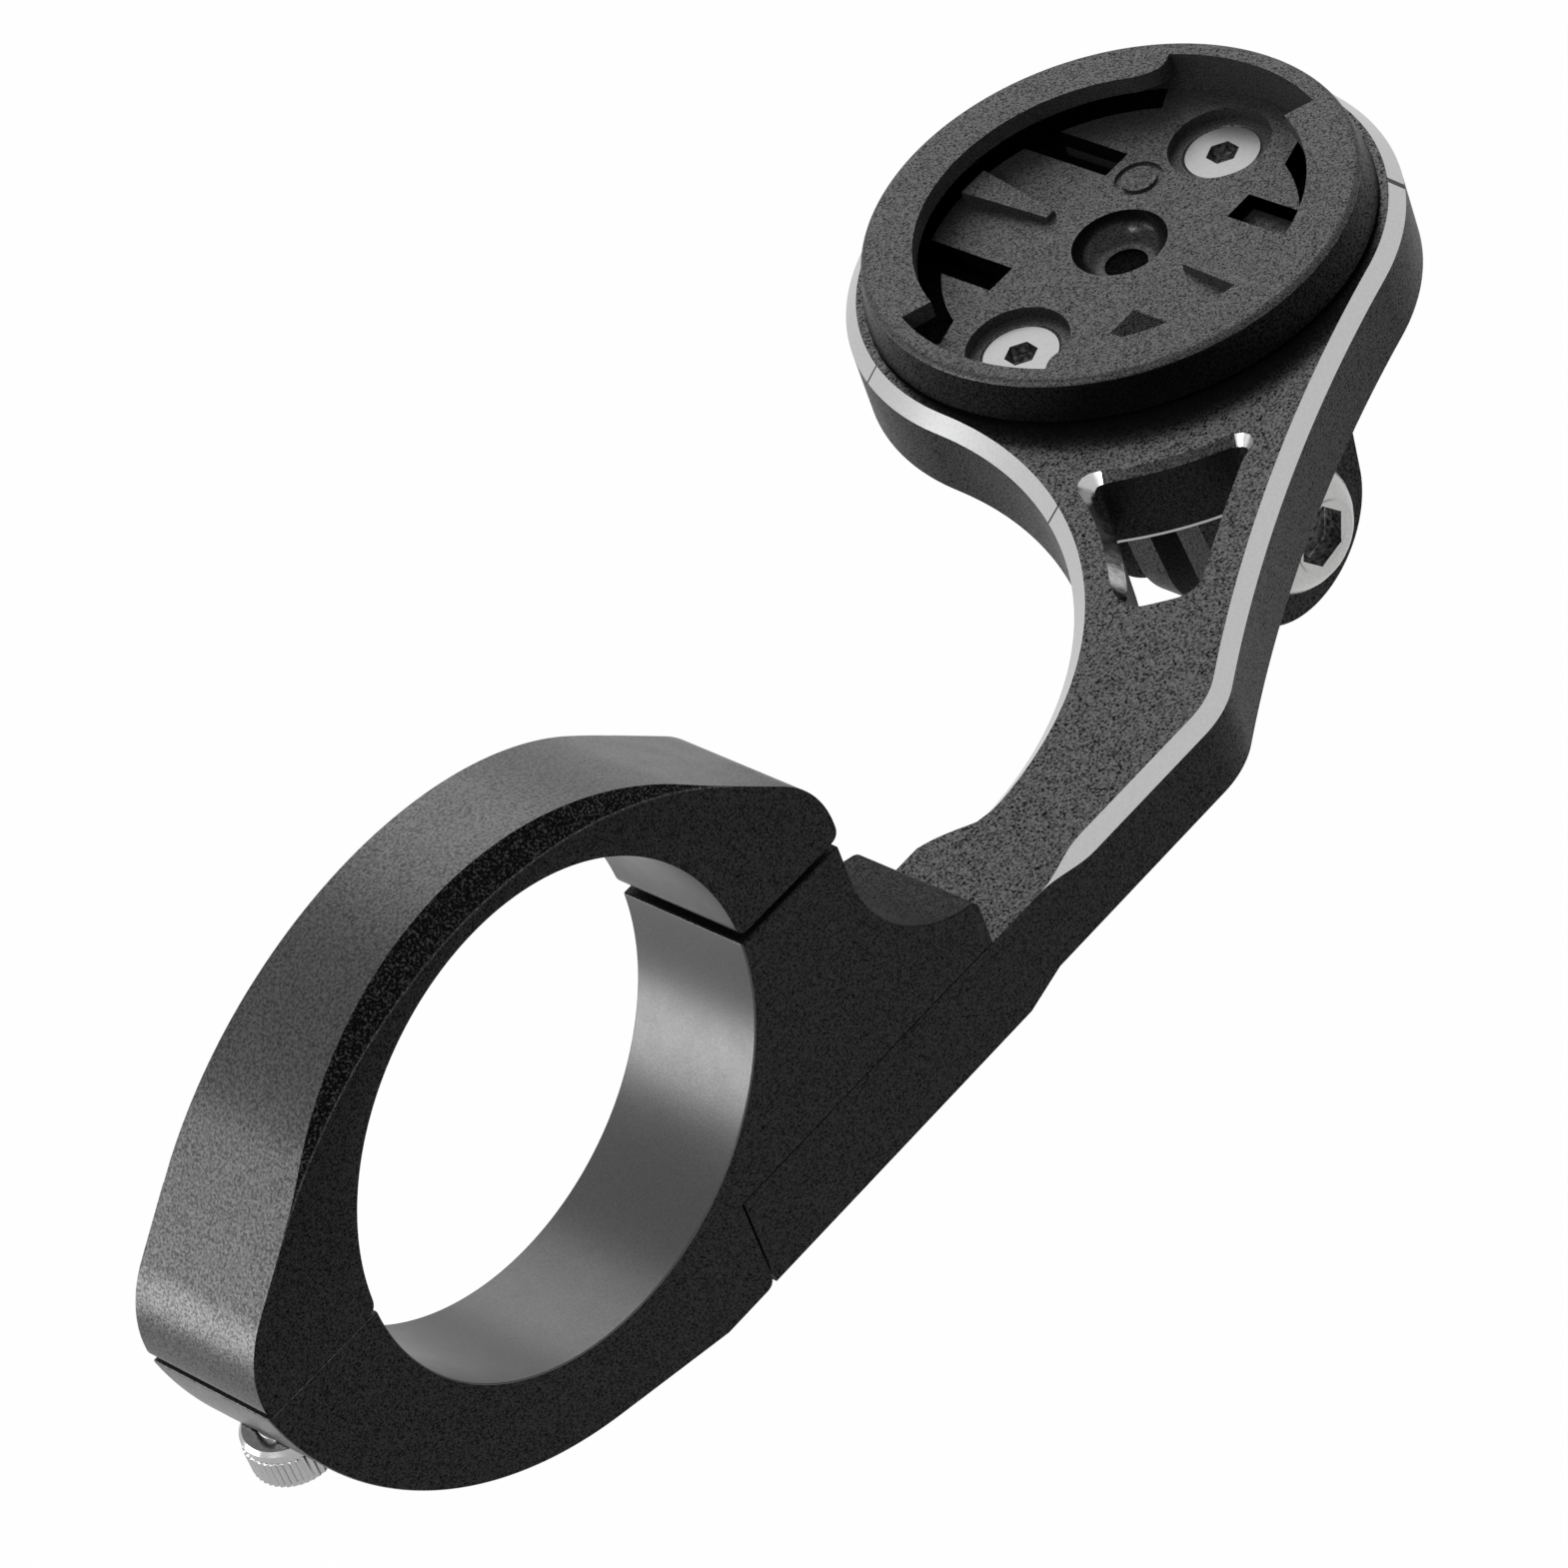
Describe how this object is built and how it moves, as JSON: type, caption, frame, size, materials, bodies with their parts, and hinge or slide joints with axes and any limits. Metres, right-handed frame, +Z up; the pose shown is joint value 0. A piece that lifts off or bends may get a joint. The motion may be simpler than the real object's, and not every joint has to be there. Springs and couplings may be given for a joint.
{
  "type": "bike computer mount",
  "caption": "Handlebar clamp with a flat side-swept arm, a quarter-turn receptacle for a cycling computer on its round head and a pronged accessory lug below.",
  "frame": {"origin": "on the handlebar axis, at mid-width of the clamp", "axes": "+X forward to the receptacle, +Y along the handlebar to the side the arm swings to, +Z up, square to the arm's flat plate"},
  "size_m": [0.1307, 0.0534, 0.0639],
  "materials": {
    "anodised_base": "fine bead-blasted black anodising, darker and smoother on the sides",
    "anodised_cap": "coarser grained black anodising on the band, dark crescent bevels",
    "anodised_arm": "fine grained black anodising with a bright machined edge bevel",
    "insert_plastic": "fine bead texture",
    "lug_alloy": "dark grey anodising",
    "screw_steel": "bright plated steel",
    "insert_screw_steel": "satin plated steel",
    "bolt_steel": "satin stainless steel"
  },
  "bodies": {
    "mount": {"clamp_base": "anodised_base", "arm": "anodised_arm", "insert": "insert_plastic", "accessory_lug": "lug_alloy", "rear_clamp_screw": "screw_steel", "front_clamp_screw": "screw_steel", "arm_screw": "screw_steel", "insert_screw_front": "insert_screw_steel", "insert_screw_rear": "insert_screw_steel", "camera_nut": "bolt_steel"},
    "cap": {"clamp_cap": "anodised_cap"},
    "bolt": {"camera_bolt": "bolt_steel"}
  },
  "joints": [
    {"name": "cap_lift_off", "type": "slide", "parent": "mount", "child": "cap", "axis": [0, 0, 1], "range_m": [0, 0.03]},
    {"name": "bolt_withdraw", "type": "slide", "parent": "mount", "child": "bolt", "axis": [0, -1, 0], "range_m": [0, 0.025]}
  ]
}
